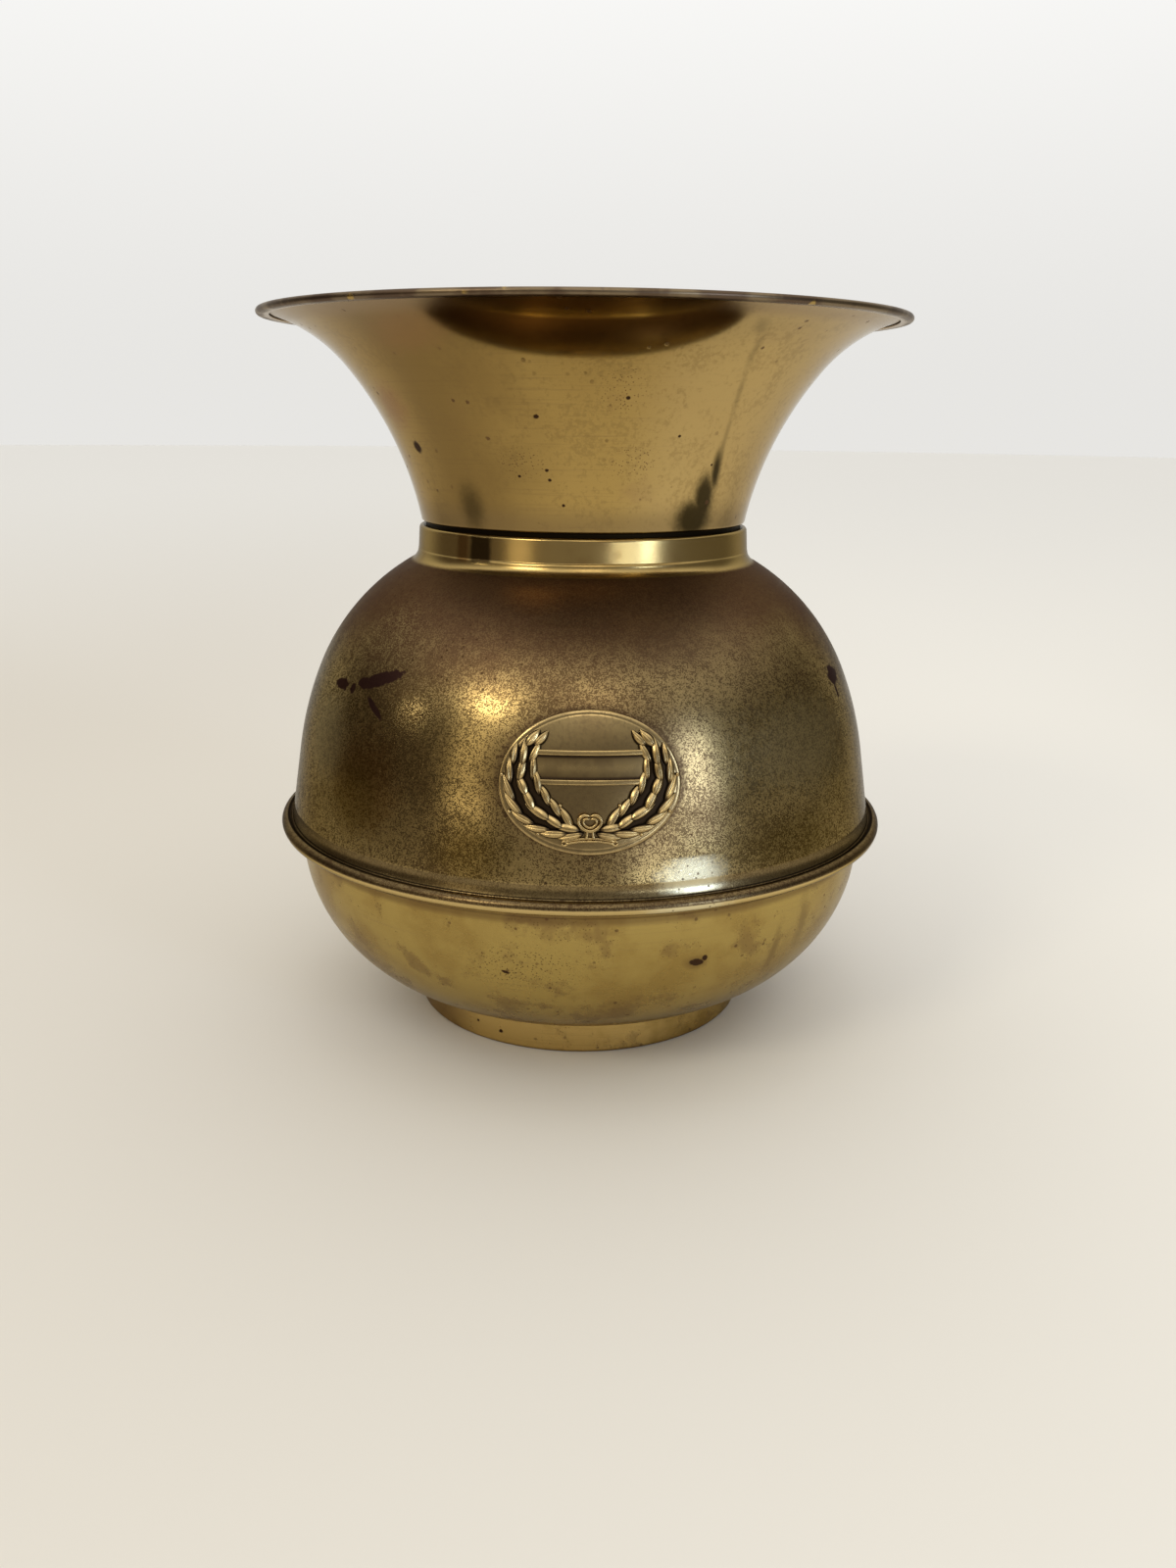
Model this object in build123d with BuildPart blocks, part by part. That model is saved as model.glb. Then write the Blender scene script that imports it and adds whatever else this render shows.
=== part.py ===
from build123d import *
from math import acos, atan2, cos, degrees, radians, sin, sqrt, tan
import os

os.makedirs("parts", exist_ok=True)

# Overall sizes, in millimetres; angles are in degrees
total_height = 252.0
rim_diameter = 224.0
seam_overhang = 0.8
seam_diameter = rim_diameter + 2 * seam_overhang
rim_radius = rim_diameter / 2
seam_radius = seam_diameter / 2

# Mouth funnel
funnel_sheet = 0.65
funnel_height = 69.7
flare_width = 55.0
shoulder_overhang = 1.3
curl_radius = 1.15
curl_return = 2.9
rim_slope = 77.1
upper_flare_radius = 50.8
upper_flare_turn = 37.5
mouth_radius = rim_radius - flare_width
shoulder_radius = mouth_radius + shoulder_overhang
shoulder_height = total_height - funnel_height
shoulder_rounding = 0.8
spigot_clearance = 0.1
spigot_length = 12.0
spigot_taper = 1.5
spigot_corner = 0.4

# Upper shell, from the seam to the collar's lip
shell_sheet = 0.9
lip_gap = 1.4
lip_height = shoulder_height - lip_gap
lip_width = 2.2
lip_rounding = 1.25
collar_top_radius = mouth_radius + lip_width
collar_spread = 0.7
collar_base_radius = collar_top_radius + collar_spread
collar_length = 11.0
collar_base_height = lip_height - collar_length
collar_fillet = 5.0
ledge_inset = 4.85
ledge_radius = seam_radius - ledge_inset
dome_height = 89.1
ledge_height = collar_base_height - dome_height
side_taper = 8.97
side_length = 21.0
lower_dome_radius = 123.6
lower_dome_turn = 13.86
cove_depth = 0.45
cove_height = 6.7
bead_height = ledge_height - cove_height
bead_section_radius = 2.3
bead_crease_angle = 130.0
seam_clearance = 0.15

# Lower bowl
bowl_sheet = 0.9
bowl_bottom_height = 9.5
bowl_inset = 7.4
bowl_top_radius = seam_radius - bowl_inset
bowl_drop = 5.9
bowl_top_height = bead_height - bowl_drop
bowl_side_radius = 58.7
bowl_step = 0.5
step_radius = 1.0
flange_corner = 0.3
flange_rest = 0.1
flange_reach = 4.0

# Foot ring
foot_outset = 15.9
foot_sheet = 1.0
foot_hem = 4.4
foot_rounding = 1.2
foot_lean = 0.3
foot_flange = 9.0
solder_gap = 0.12

# Badge plate and wreath
badge_width = 57.5
badge_length = 44.6
badge_middle = 31.7
badge_top_turn = 14.0
badge_sheet = 1.0
badge_border = 1.3
badge_border_rise = 0.45
wreath_width = 43.0
wreath_length = 32.0
wreath_opening = 27.0
wreath_drop = 1.0
wreath_back = 0.6
wreath_back_width = 4.0
wreath_first_angle = -74.0
wreath_last_angle = 42.0
leaf_nodes = 9
leaf_length = 8.2
leaf_width = 2.9
leaf_height = 1.35
leaf_edge_share = 0.3
leaf_ridge_share = 0.12
leaf_splay = 22.0
side_leaf_share = 0.3
middle_leaf_share = 0.55
leaf_side_share = 0.62
side_leaf_base_share = 0.45
middle_leaf_base_share = 0.72
tablet_width = 33.0
tablet_length = 10.4
tablet_rise = 3.8
tablet_rail = 1.6
tablet_rail_rise = 0.7
bar_length = 6.4
bar_radius = 0.8
stem_angle = 20.0
stem_start = 0.4
binding_pitch = 1.5
binding_rise = 0.5

# Sizes that follow from the ones above
curl_middle_radius = rim_radius - curl_radius
curl_middle_height = total_height - curl_radius
bead_middle_radius = seam_radius - bead_section_radius
bead_bottom_height = bead_height - bead_section_radius
neck_radius = bowl_top_radius + bowl_step
flange_height = bead_bottom_height + shell_sheet + flange_rest
bowl_arc_radius = min(bowl_side_radius, bowl_top_height - bowl_bottom_height)
bowl_arc_height = bowl_bottom_height + bowl_arc_radius
bowl_arc_middle = bowl_top_radius - bowl_arc_radius
foot_diameter = 2 * (bowl_arc_middle + foot_outset)
foot_radius = foot_diameter / 2
foot_top_radius = foot_radius - foot_lean
seat_radius = bowl_arc_radius + solder_gap
foot_top_height = bowl_arc_height - sqrt(seat_radius**2 - (foot_top_radius - bowl_arc_middle)**2)


# Mouth funnel: one spun sheet from the spigot up to the curled rim
with BuildPart() as mouth_funnel:
    with BuildSketch(Plane.XZ):
        with BuildLine() as funnel_line:
            curl_inside = curl_radius - funnel_sheet
            hem = Line(
                (curl_middle_radius - curl_return, curl_middle_height - curl_inside),
                (curl_middle_radius, curl_middle_height - curl_inside),
            )
            curl = JernArc(hem @ 1, hem % 1, curl_inside, 270 - rim_slope)
            upper_flare = JernArc(curl @ 1, curl % 1, upper_flare_radius, upper_flare_turn)
            lower_flare = TangentArc(
                [upper_flare @ 1, (shoulder_radius, shoulder_height)], tangent=upper_flare % 1
            )
            spigot_top_radius = mouth_radius - spigot_clearance
            spigot_foot_radius = spigot_top_radius - spigot_length * sin(radians(spigot_taper))
            step = Line(lower_flare @ 1, (spigot_top_radius, shoulder_height))
            spigot = Line(step @ 1, (spigot_foot_radius, shoulder_height - spigot_length))
            fillet(funnel_line.vertices().sort_by_distance(step @ 0)[0], shoulder_rounding)
            fillet(funnel_line.vertices().sort_by_distance(step @ 1)[0], spigot_corner)
            offset(amount=funnel_sheet, side=Side.RIGHT)
        make_face()
    revolve(axis=Axis.Z)
mouth_funnel.part.label = "mouth_funnel"
export_step(mouth_funnel.part, "parts/mouth_funnel.step")

# Upper shell: seam bead, cove, tapering side, dome, collar and turned-in lip
with BuildPart() as upper_shell:
    with BuildSketch(Plane.XZ):
        with BuildLine() as shell_line:
            shell_hem = Line(
                (neck_radius + seam_clearance, bead_bottom_height),
                (bead_middle_radius, bead_bottom_height),
            )
            bead = JernArc(shell_hem @ 1, shell_hem % 1, bead_section_radius, 90 + bead_crease_angle)
            cove = SagittaArc(bead @ 1, (ledge_radius, ledge_height), cove_depth)
            side = PolarLine(cove @ 1, side_length, 90 + side_taper)
            lower_dome = JernArc(side @ 1, side % 1, lower_dome_radius, lower_dome_turn)
            upper_dome = TangentArc(
                [lower_dome @ 1, (collar_base_radius, collar_base_height)], tangent=lower_dome % 1
            )
            collar = Line(upper_dome @ 1, (collar_top_radius, lip_height))
            lip = Line(collar @ 1, (mouth_radius, lip_height))
            fillet(shell_line.vertices().sort_by_distance(collar @ 0)[0], collar_fillet)
            fillet(shell_line.vertices().sort_by_distance(collar @ 1)[0], lip_rounding)
            offset(amount=shell_sheet, side=Side.LEFT)
        make_face()
    revolve(axis=Axis.Z)
upper_shell.part.label = "upper_shell"
export_step(upper_shell.part, "parts/upper_shell.step")

# Lower bowl: flat bottom, round side, small step and the flange held in the bead
with BuildPart() as lower_bowl:
    with BuildSketch(Plane.XZ):
        with BuildLine():
            floor = Line((0, bowl_bottom_height), (bowl_arc_middle, bowl_bottom_height))
            bowl_side = JernArc(floor @ 1, floor % 1, bowl_arc_radius, 90)
            step_turn = degrees(acos(1 - bowl_step / (2 * step_radius)))
            step_out = JernArc(bowl_side @ 1, bowl_side % 1, step_radius, -step_turn)
            step_up = JernArc(step_out @ 1, step_out % 1, step_radius, step_turn)
            FilletPolyline(
                step_up @ 1,
                (neck_radius, flange_height),
                (neck_radius + flange_reach, flange_height),
                radius=flange_corner,
            )
            offset(amount=bowl_sheet, side=Side.LEFT)
        make_face()
    revolve(axis=Axis.Z)
lower_bowl.part.label = "lower_bowl"
export_step(lower_bowl.part, "parts/lower_bowl.step")

# Foot ring: turned-in hem, wall and a flange that follows the bowl
with BuildPart() as foot_ring:
    with BuildSketch(Plane.XZ):
        with BuildLine() as foot_line:
            foot_base = Line((foot_radius - foot_hem, 0), (foot_radius, 0))
            foot_wall = Line(foot_base @ 1, (foot_top_radius, foot_top_height))
            seat_angle = degrees(atan2(foot_top_radius - bowl_arc_middle, bowl_arc_height - foot_top_height))
            seat = JernArc(
                foot_wall @ 1,
                (-cos(radians(seat_angle)), -sin(radians(seat_angle))),
                seat_radius,
                -degrees(foot_flange / seat_radius),
            )
            fillet(foot_line.vertices().sort_by_distance(foot_base @ 1)[0], foot_rounding)
            offset(amount=foot_sheet, side=Side.LEFT)
        make_face()
    revolve(axis=Axis.Z)
foot_ring.part.label = "foot_ring"
export_step(foot_ring.part, "parts/foot_ring.step")


def bent_line(before, radius, turn):
    """Smooth curve that leaves the end of another line and bends like an arc."""
    ahead = (before % 1).normalized()
    aside = Vector(-ahead.Y, ahead.X)
    bend = radians(turn)
    pull = radius * tan(bend / 4) * 4 / 3
    end = (before @ 1) + ahead * (radius * sin(bend)) + aside * (radius * (1 - cos(bend)))
    leaving = ahead * cos(bend) + aside * sin(bend)
    return Bezier(before @ 1, (before @ 1) + ahead * pull, end - leaving * pull, end)


def dome_band(near, far):
    """Section of a sheet that follows the upper shell's outside from one distance to another."""
    slope = radians(side_taper)
    ends = []
    with BuildSketch(Plane.XZ) as band:
        with BuildLine():
            for gap in (near, far):
                start = (ledge_radius + gap * cos(slope), ledge_height + gap * sin(slope))
                band_side = PolarLine(start, side_length, 90 + side_taper)
                band_low = bent_line(band_side, lower_dome_radius + gap, lower_dome_turn)
                band_high = bent_line(band_low, upper_dome_radius + gap, badge_top_turn)
                ends.append((band_side @ 0, band_high @ 1))
            Line(ends[0][0], ends[1][0])
            Line(ends[0][1], ends[1][1])
        make_face()
    return band.sketch


def badge_spot(across, up, lift, turn):
    """Place on the badge, its third axis pointing away from the shell."""
    way = badge_middle + up
    if way < side_length:
        slope = radians(side_taper)
        radius = ledge_radius - way * sin(slope)
        level = ledge_height + way * cos(slope)
    else:
        slope = radians(side_taper) + (way - side_length) / lower_dome_radius
        first = radians(side_taper)
        radius = ledge_radius - side_length * sin(first) - lower_dome_radius * (cos(first) - cos(slope))
        level = ledge_height + side_length * cos(first) + lower_dome_radius * (sin(slope) - sin(first))
    radius = radius + lift * cos(slope)
    level = level + lift * sin(slope)
    around = across / badge_front_radius
    place = Plane(
        origin=(radius * sin(around), -radius * cos(around), level),
        x_dir=(cos(around), sin(around), 0),
        z_dir=(cos(slope) * sin(around), -cos(slope) * cos(around), sin(slope)),
    )
    return Location(place) * Rotation(0, 0, turn)


upper_dome_radius = upper_dome.radius
badge_front_radius = ledge_radius - side_length * sin(radians(side_taper))
badge_centre_height = badge_spot(0, 0, 0, 0).position.Z
wreath_centre_height = badge_spot(0, -wreath_drop, 0, 0).position.Z
tablet_centre_height = badge_spot(0, tablet_rise, 0, 0).position.Z
plate_back = solder_gap
plate_face = plate_back + badge_sheet
wreath_low = plate_face + solder_gap
wreath_face = wreath_low + wreath_back

# Badge plate: an oval that follows the dome, with a raised border
with BuildPart() as plate_field:
    add(dome_band(plate_face, plate_face + badge_sheet))
    revolve(axis=Axis.Z)
    with BuildSketch(Plane.XZ):
        with Locations((0, badge_centre_height)):
            Ellipse(badge_width / 2 - badge_border, badge_length / 2 - badge_border)
    extrude(amount=rim_radius, mode=Mode.INTERSECT)

with BuildPart() as badge_plate:
    add(dome_band(plate_back, plate_face + badge_border_rise))
    revolve(axis=Axis.Z)
    with BuildSketch(Plane.XZ):
        with Locations((0, badge_centre_height)):
            Ellipse(badge_width / 2, badge_length / 2)
    extrude(amount=rim_radius, mode=Mode.INTERSECT)
    add(plate_field.part, mode=Mode.SUBTRACT)
badge_plate.part.label = "badge_plate"
export_step(badge_plate.part, "parts/badge_plate.step")

# One laurel leaf, lying along its first axis, with a ridge that falls away to both tips
with BuildPart() as leaf:
    with BuildSketch():
        with BuildLine():
            ThreePointArc((-leaf_length / 2, 0), (0, -leaf_width / 2), (leaf_length / 2, 0))
            ThreePointArc((leaf_length / 2, 0), (0, leaf_width / 2), (-leaf_length / 2, 0))
        make_face()
    extrude(amount=leaf_height)
    leaf_edge = leaf_height * leaf_edge_share
    leaf_ridge = leaf_length * leaf_ridge_share
    with BuildSketch(Plane.YZ):
        Polygon(
            (-leaf_width / 2, 0),
            (leaf_width / 2, 0),
            (leaf_width / 2, leaf_edge),
            (0, leaf_height),
            (-leaf_width / 2, leaf_edge),
            align=None,
        )
    extrude(amount=leaf_length, both=True, mode=Mode.INTERSECT)
    with BuildSketch(Plane.XZ):
        Polygon(
            (-leaf_length / 2, 0),
            (leaf_length / 2, 0),
            (leaf_length / 2, leaf_edge),
            (leaf_ridge, leaf_height),
            (-leaf_ridge, leaf_height),
            (-leaf_length / 2, leaf_edge),
            align=None,
        )
    extrude(amount=leaf_width, both=True, mode=Mode.INTERSECT)

# One rounded bar, lying along its first axis, for the stems and their binding
with BuildPart() as bar:
    with BuildSketch():
        with BuildLine():
            Polyline((bar_length - bar_radius, bar_radius), (0, bar_radius), (0, 0), (bar_length, 0))
            JernArc((bar_length, 0), (0, 1), bar_radius, 90)
        make_face()
    revolve(axis=Axis.X, revolution_arc=180)

# What is taken off the wreath's sheet so that only the tablet's two rails stay raised
with BuildPart() as around_rails:
    add(dome_band(wreath_face, wreath_face + badge_sheet))
    revolve(axis=Axis.Z)
    with BuildSketch(Plane.XZ):
        with Locations((0, badge_centre_height)):
            Ellipse(badge_width / 2, badge_length / 2)
        with Locations((0, tablet_centre_height)):
            Rectangle(tablet_width, tablet_length, mode=Mode.SUBTRACT)
            Rectangle(tablet_width + tablet_rail, tablet_length - 2 * tablet_rail)
    extrude(amount=rim_radius, mode=Mode.INTERSECT)


def leaf_places():
    """Places of all leaves, node by node up the right branch, and mirrored on the left."""
    places = []
    for node in range(leaf_nodes):
        angle = wreath_first_angle + (wreath_last_angle - wreath_first_angle) * node / (leaf_nodes - 1)
        node_across = wreath_width / 2 * cos(radians(angle))
        node_up = wreath_length / 2 * sin(radians(angle)) - wreath_drop
        heading = degrees(atan2(wreath_length * cos(radians(angle)), -wreath_width * sin(radians(angle))))
        for row in (-1, 0, 1):
            turn = heading + row * leaf_splay
            forward = leaf_length * (middle_leaf_share if row == 0 else side_leaf_share)
            sideways = leaf_width * leaf_side_share * row
            across = node_across + forward * cos(radians(turn)) - sideways * sin(radians(turn))
            up = node_up + forward * sin(radians(turn)) + sideways * cos(radians(turn))
            lift = wreath_low + wreath_back * (middle_leaf_base_share if row == 0 else side_leaf_base_share)
            places.append(badge_spot(across, up, lift, turn))
            places.append(badge_spot(-across, up, lift, 180 - turn))
    return places


def binding_places():
    """Places of the crossed stems and of the bars that bind them."""
    lowest = -wreath_length / 2 - wreath_drop
    lift = wreath_face - wreath_back / 2
    places = []
    for sign in (-1, 1):
        turn = -stem_angle if sign > 0 else 180 + stem_angle
        places.append(badge_spot(sign * stem_start, lowest, lift, turn))
    for step_across in (-binding_pitch, 0, binding_pitch):
        places.append(badge_spot(step_across, lowest - bar_length / 2, lift + binding_rise, 90))
    return places


# Wreath, cast in one piece: two laurel branches, tied stems and a plain tablet between them
with BuildPart() as badge_wreath:
    add(dome_band(wreath_low, wreath_face + tablet_rail_rise))
    revolve(axis=Axis.Z)
    with BuildSketch(Plane.XZ):
        with Locations((0, wreath_centre_height)):
            Ellipse((wreath_width + wreath_back_width) / 2, (wreath_length + wreath_back_width) / 2)
            Ellipse(
                (wreath_width - wreath_back_width) / 2,
                (wreath_length - wreath_back_width) / 2,
                mode=Mode.SUBTRACT,
            )
        with Locations((0, wreath_centre_height + wreath_length / 2)):
            Rectangle(wreath_opening, wreath_length / 2, mode=Mode.SUBTRACT)
        with Locations((0, tablet_centre_height)):
            Rectangle(tablet_width, tablet_length)
    extrude(amount=rim_radius, mode=Mode.INTERSECT)
    add(around_rails.part, mode=Mode.SUBTRACT)
    with Locations(*binding_places()):
        add(bar.part)
    for leaf_place in leaf_places():
        with Locations(leaf_place):
            add(leaf.part, clean=False)
badge_wreath.part.label = "badge_wreath"
export_step(badge_wreath.part, "parts/badge_wreath.step")
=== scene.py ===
import math

import bmesh
import bpy
import numpy as np
from mathutils import Matrix, Vector


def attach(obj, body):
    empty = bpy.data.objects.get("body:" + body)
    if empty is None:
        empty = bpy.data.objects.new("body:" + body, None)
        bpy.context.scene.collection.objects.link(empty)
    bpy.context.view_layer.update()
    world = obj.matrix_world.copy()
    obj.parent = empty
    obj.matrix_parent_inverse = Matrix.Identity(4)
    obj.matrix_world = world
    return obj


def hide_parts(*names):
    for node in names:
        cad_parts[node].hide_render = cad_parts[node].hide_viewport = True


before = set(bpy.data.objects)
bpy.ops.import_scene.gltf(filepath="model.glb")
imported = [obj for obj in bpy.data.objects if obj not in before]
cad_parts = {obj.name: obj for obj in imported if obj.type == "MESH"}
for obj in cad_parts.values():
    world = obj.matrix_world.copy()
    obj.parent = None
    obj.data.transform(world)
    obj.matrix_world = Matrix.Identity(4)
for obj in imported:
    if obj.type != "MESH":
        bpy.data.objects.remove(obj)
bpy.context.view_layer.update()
MM = 0.001

# The sizes of the solids, in millimetres and degrees
total_height = 252.0
rim_radius = 112.0
seam_radius = 112.8
foot_radius = 62.6
funnel_sheet = 0.65
curl_radius = 1.15
curl_return = 2.9
rim_slope = 77.1
upper_flare_radius = 50.8
upper_flare_turn = 37.5
shoulder_radius = 58.3
shoulder_height = 182.3
shoulder_rounding = 0.8
spigot_clearance = 0.1
spigot_length = 12.0
spigot_taper = 1.5
spigot_corner = 0.4
shell_sheet = 0.9
mouth_radius = 57.0
lip_height = 180.9
lip_rounding = 1.25
collar_top_radius = 59.2
collar_base_radius = 59.9
collar_base_height = 169.9
collar_fillet = 5.0
ledge_radius = 107.95
ledge_height = 80.8
side_taper = 8.97
side_length = 21.0
lower_dome_radius = 123.6
lower_dome_turn = 13.86
cove_depth = 0.45
bead_height = 74.1
bead_section_radius = 2.3
bead_crease_angle = 130.0
seam_clearance = 0.15
bowl_sheet = 0.9
bowl_bottom_height = 9.5
bowl_top_radius = 105.4
bowl_top_height = 68.2
bowl_step = 0.5
step_radius = 1.0
flange_corner = 0.3
flange_rest = 0.1
flange_reach = 4.0
foot_sheet = 1.0
foot_hem = 4.4
foot_rounding = 1.2
foot_lean = 0.3
foot_flange = 9.0
solder_gap = 0.12
badge_width = 57.5
badge_length = 44.6
badge_middle = 31.7
badge_sheet = 1.0
badge_border = 1.3
wreath_back = 0.6
tablet_width = 33.0
tablet_length = 10.4
tablet_rise = 4.4
tablet_rail = 1.6
tablet_rail_rise = 0.7

# Fineness of the meshes; the last two are in metres
lathe_segments = 288
plate_segments = 220
strand_points = 240
on_axis = 1e-7
lathe_merge = 1e-8
badge_merge = 2e-7


# Lines in the radius and height plane
def unit(degrees):
    return np.array([math.cos(math.radians(degrees)), math.sin(math.radians(degrees))])


def straight(start, end, step=0.6):
    start, end = np.array(start, float), np.array(end, float)
    count = max(2, int(np.hypot(*(end - start)) / step) + 1)
    return start + (end - start) * np.linspace(0, 1, count)[:, None]


def arc(start, heading, radius, turn, step=0.6):
    """Points of an arc that leaves start in a heading; a positive turn bends left."""
    side = 1 if turn > 0 else -1
    start = np.array(start, float)
    centre = start + side * radius * unit(heading + 90)
    count = max(8, int(abs(math.radians(turn)) * radius / step) + 1, int(abs(turn) / 6) + 1)
    angles = heading - 90 * side + np.linspace(0, turn, count)
    return centre + radius * np.stack([np.cos(np.radians(angles)), np.sin(np.radians(angles))], 1)


def arc_to(start, heading, end):
    """The arc that leaves start in a heading and ends at a point."""
    d = np.array(end, float) - np.array(start, float)
    off = (math.degrees(math.atan2(d[1], d[0])) - heading + 180) % 360 - 180
    radius = np.hypot(*d) / (2 * math.sin(math.radians(abs(off))))
    return arc(start, heading, radius, 2 * off)


def sideways(line):
    d = np.gradient(line, axis=0)
    d /= np.linalg.norm(d, axis=1, keepdims=True)
    return np.stack([-d[:, 1], d[:, 0]], 1)


def denser(line, step):
    along = np.concatenate([[0], np.cumsum(np.hypot(*np.diff(line, axis=0).T))])
    ask = np.linspace(0, along[-1], max(3, int(along[-1] / step) + 1))
    return np.stack([np.interp(ask, along, line[:, k]) for k in (0, 1)], 1)


def distance(points, line):
    a, b = line[:-1], line[1:]
    ab = b - a
    t = ((points[:, None] - a) * ab).sum(2) / (ab * ab).sum(1)
    near = a + np.clip(t, 0, 1)[:, :, None] * ab
    gaps = np.hypot(*(points[:, None] - near).transpose(2, 0, 1))
    best = gaps.argmin(1)
    rows = np.arange(len(points))
    return gaps[rows, best], near[rows, best], best


def rounded(before, after, radius):
    """Joins two lines that meet at a point, with a rounded corner."""
    reach = 7.8 * radius + 1.5
    tail = before[np.hypot(*(before - before[-1]).T) < reach]
    tail = tail if len(tail) > 1 else before[-2:]
    tail = denser(tail, radius / 60)
    d0, d1 = before[-1] - before[-2], after[1] - after[0]
    side = 1 if d0[0] * d1[1] - d0[1] * d1[0] > 0 else -1
    centres = tail + side * radius * sideways(tail)
    gap = distance(centres, denser(after, radius / 10))[0] - radius
    crossed = np.nonzero(gap[:-1] * gap[1:] <= 0)[0]
    k = crossed[0] if len(crossed) else int(np.abs(gap).argmin())
    centre, first = centres[k], tail[k]
    _, last, _ = distance(centre[None], after)
    last = last[0]
    a0 = math.degrees(math.atan2(*(first - centre)[::-1]))
    a1 = math.degrees(math.atan2(*(last - centre)[::-1]))
    sweep = (a1 - a0) * side % 360 * side
    angles = np.radians(a0 + np.linspace(0, sweep, max(5, int(abs(sweep) / 9) + 1)))
    corner = centre + radius * np.stack([np.cos(angles), np.sin(angles)], 1)
    kept = before[np.hypot(*(before - before[-1]).T) > np.hypot(*(first - before[-1])) + 1e-6]
    rest = after[np.hypot(*(after - after[0]).T) > np.hypot(*(last - after[0])) + 1e-6]
    return np.vstack([kept if len(kept) else before[:1], corner, rest])


def joined(*lines):
    """Lines put end to end where they run on smoothly."""
    out = [lines[0]]
    for line in lines[1:]:
        out.append(line[1:])
    return np.vstack(out)


def section(face, sheet, side):
    """Closed section of a sheet with round edges; side is 1 where the metal lies to the left of the face."""
    inner = face + side * sheet * sideways(face)
    ends = []
    for a, b in ((face[-1], inner[-1]), (inner[0], face[0])):
        middle, r = (a + b) / 2, sheet / 2
        a0 = math.degrees(math.atan2(*(a - middle)[::-1]))
        angles = np.radians(a0 + side * np.linspace(0, 180, 7)[1:-1])
        ends.append(middle + r * np.stack([np.cos(angles), np.sin(angles)], 1))
    return np.vstack([face, ends[0], inner[::-1], ends[1]])


def new_piece(name, points, faces, body, node, merge, recess=None):
    """Makes one mesh, welds points closer than merge, and puts it in the place of a node."""
    mesh = bpy.data.meshes.new(name)
    mesh.from_pydata(points, [], faces)
    if recess is not None:
        layer = mesh.attributes.new("recess", "FLOAT", "POINT")
        layer.data.foreach_set("value", np.array(recess, np.float32))
    shape = bmesh.new()
    shape.from_mesh(mesh)
    bmesh.ops.remove_doubles(shape, verts=shape.verts, dist=merge)
    bmesh.ops.recalc_face_normals(shape, faces=shape.faces)
    shape.to_mesh(mesh)
    shape.free()
    mesh.shade_smooth()
    piece = bpy.data.objects.new(name, mesh)
    bpy.context.scene.collection.objects.link(piece)
    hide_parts(node)
    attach(piece, body)
    return piece


def turned(name, profile, body, node):
    """Mesh of a closed section turned round the upright axis."""
    count, around = len(profile), lathe_segments
    angles = np.linspace(0, 2 * math.pi, around, endpoint=False)
    radius, height = np.maximum(profile[:, 0], 0) * MM, profile[:, 1] * MM
    x = radius[:, None] * np.cos(angles)
    y = radius[:, None] * np.sin(angles)
    z = np.repeat(height[:, None], around, 1)
    points = np.stack([x, y, z], 2).reshape(-1, 3)
    faces = []
    for i in range(count):
        j = (i + 1) % count
        if radius[i] < on_axis and radius[j] < on_axis:
            continue
        for s in range(around):
            t = (s + 1) % around
            faces.append((i * around + s, i * around + t, j * around + t, j * around + s))
    return new_piece(name, points.tolist(), faces, body, node, lathe_merge)


# Mouth funnel
curl_middle = np.array([rim_radius - curl_radius, total_height - curl_radius])
curl_inside = curl_radius - funnel_sheet
hem = straight(curl_middle + (-curl_return, -curl_inside), curl_middle + (0, -curl_inside), 0.3)
curl = arc(hem[-1], 0, curl_inside, 270 - rim_slope)
upper_flare = arc(curl[-1], 270 - rim_slope, upper_flare_radius, upper_flare_turn)
flare_end = 270 - rim_slope + upper_flare_turn
lower_flare = arc_to(upper_flare[-1], flare_end, (shoulder_radius, shoulder_height))
spigot_top = (mouth_radius - spigot_clearance, shoulder_height)
spigot_end = (
    spigot_top[0] - spigot_length * math.sin(math.radians(spigot_taper)),
    shoulder_height - spigot_length,
)
funnel_face = rounded(
    joined(hem, curl, upper_flare, lower_flare),
    straight((shoulder_radius, shoulder_height), spigot_top, 0.1),
    shoulder_rounding,
)
funnel_face = rounded(funnel_face, straight(spigot_top, spigot_end), spigot_corner)
funnel = turned("funnel_spun", section(funnel_face, funnel_sheet, -1), "funnel", "mouth_funnel")

# Upper shell
bead_middle = np.array([seam_radius - bead_section_radius, bead_height])
bead_bottom = bead_height - bead_section_radius
neck_radius = bowl_top_radius + bowl_step
shell_hem = straight((neck_radius + seam_clearance, bead_bottom), (bead_middle[0], bead_bottom))
bead = arc(shell_hem[-1], 0, bead_section_radius, 90 + bead_crease_angle, 0.25)
ledge = np.array([ledge_radius, ledge_height])
cove_chord = ledge - bead[-1]
cove_length = np.hypot(*cove_chord)
cove_radius = (cove_length**2 / 4 + cove_depth**2) / (2 * cove_depth)
cove_bend = math.degrees(math.asin(cove_length / 2 / cove_radius))
cove_heading = math.degrees(math.atan2(cove_chord[1], cove_chord[0]))
cove = arc(bead[-1], cove_heading + cove_bend, cove_radius, -2 * cove_bend, 0.3)
side = straight(ledge, ledge + side_length * unit(90 + side_taper))
lower_dome = arc(side[-1], 90 + side_taper, lower_dome_radius, lower_dome_turn)
dome_heading = 90 + side_taper + lower_dome_turn
upper_dome = arc_to(lower_dome[-1], dome_heading, (collar_base_radius, collar_base_height))
shell_face = rounded(joined(shell_hem, bead), cove, 0.15)
shell_face = rounded(shell_face, joined(side, lower_dome, upper_dome), 0.3)
collar = straight((collar_base_radius, collar_base_height), (collar_top_radius, lip_height), 0.3)
shell_face = rounded(shell_face, collar, collar_fillet)
lip = straight((collar_top_radius, lip_height), (mouth_radius, lip_height), 0.1)
shell_face = rounded(shell_face, lip, lip_rounding)
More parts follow.
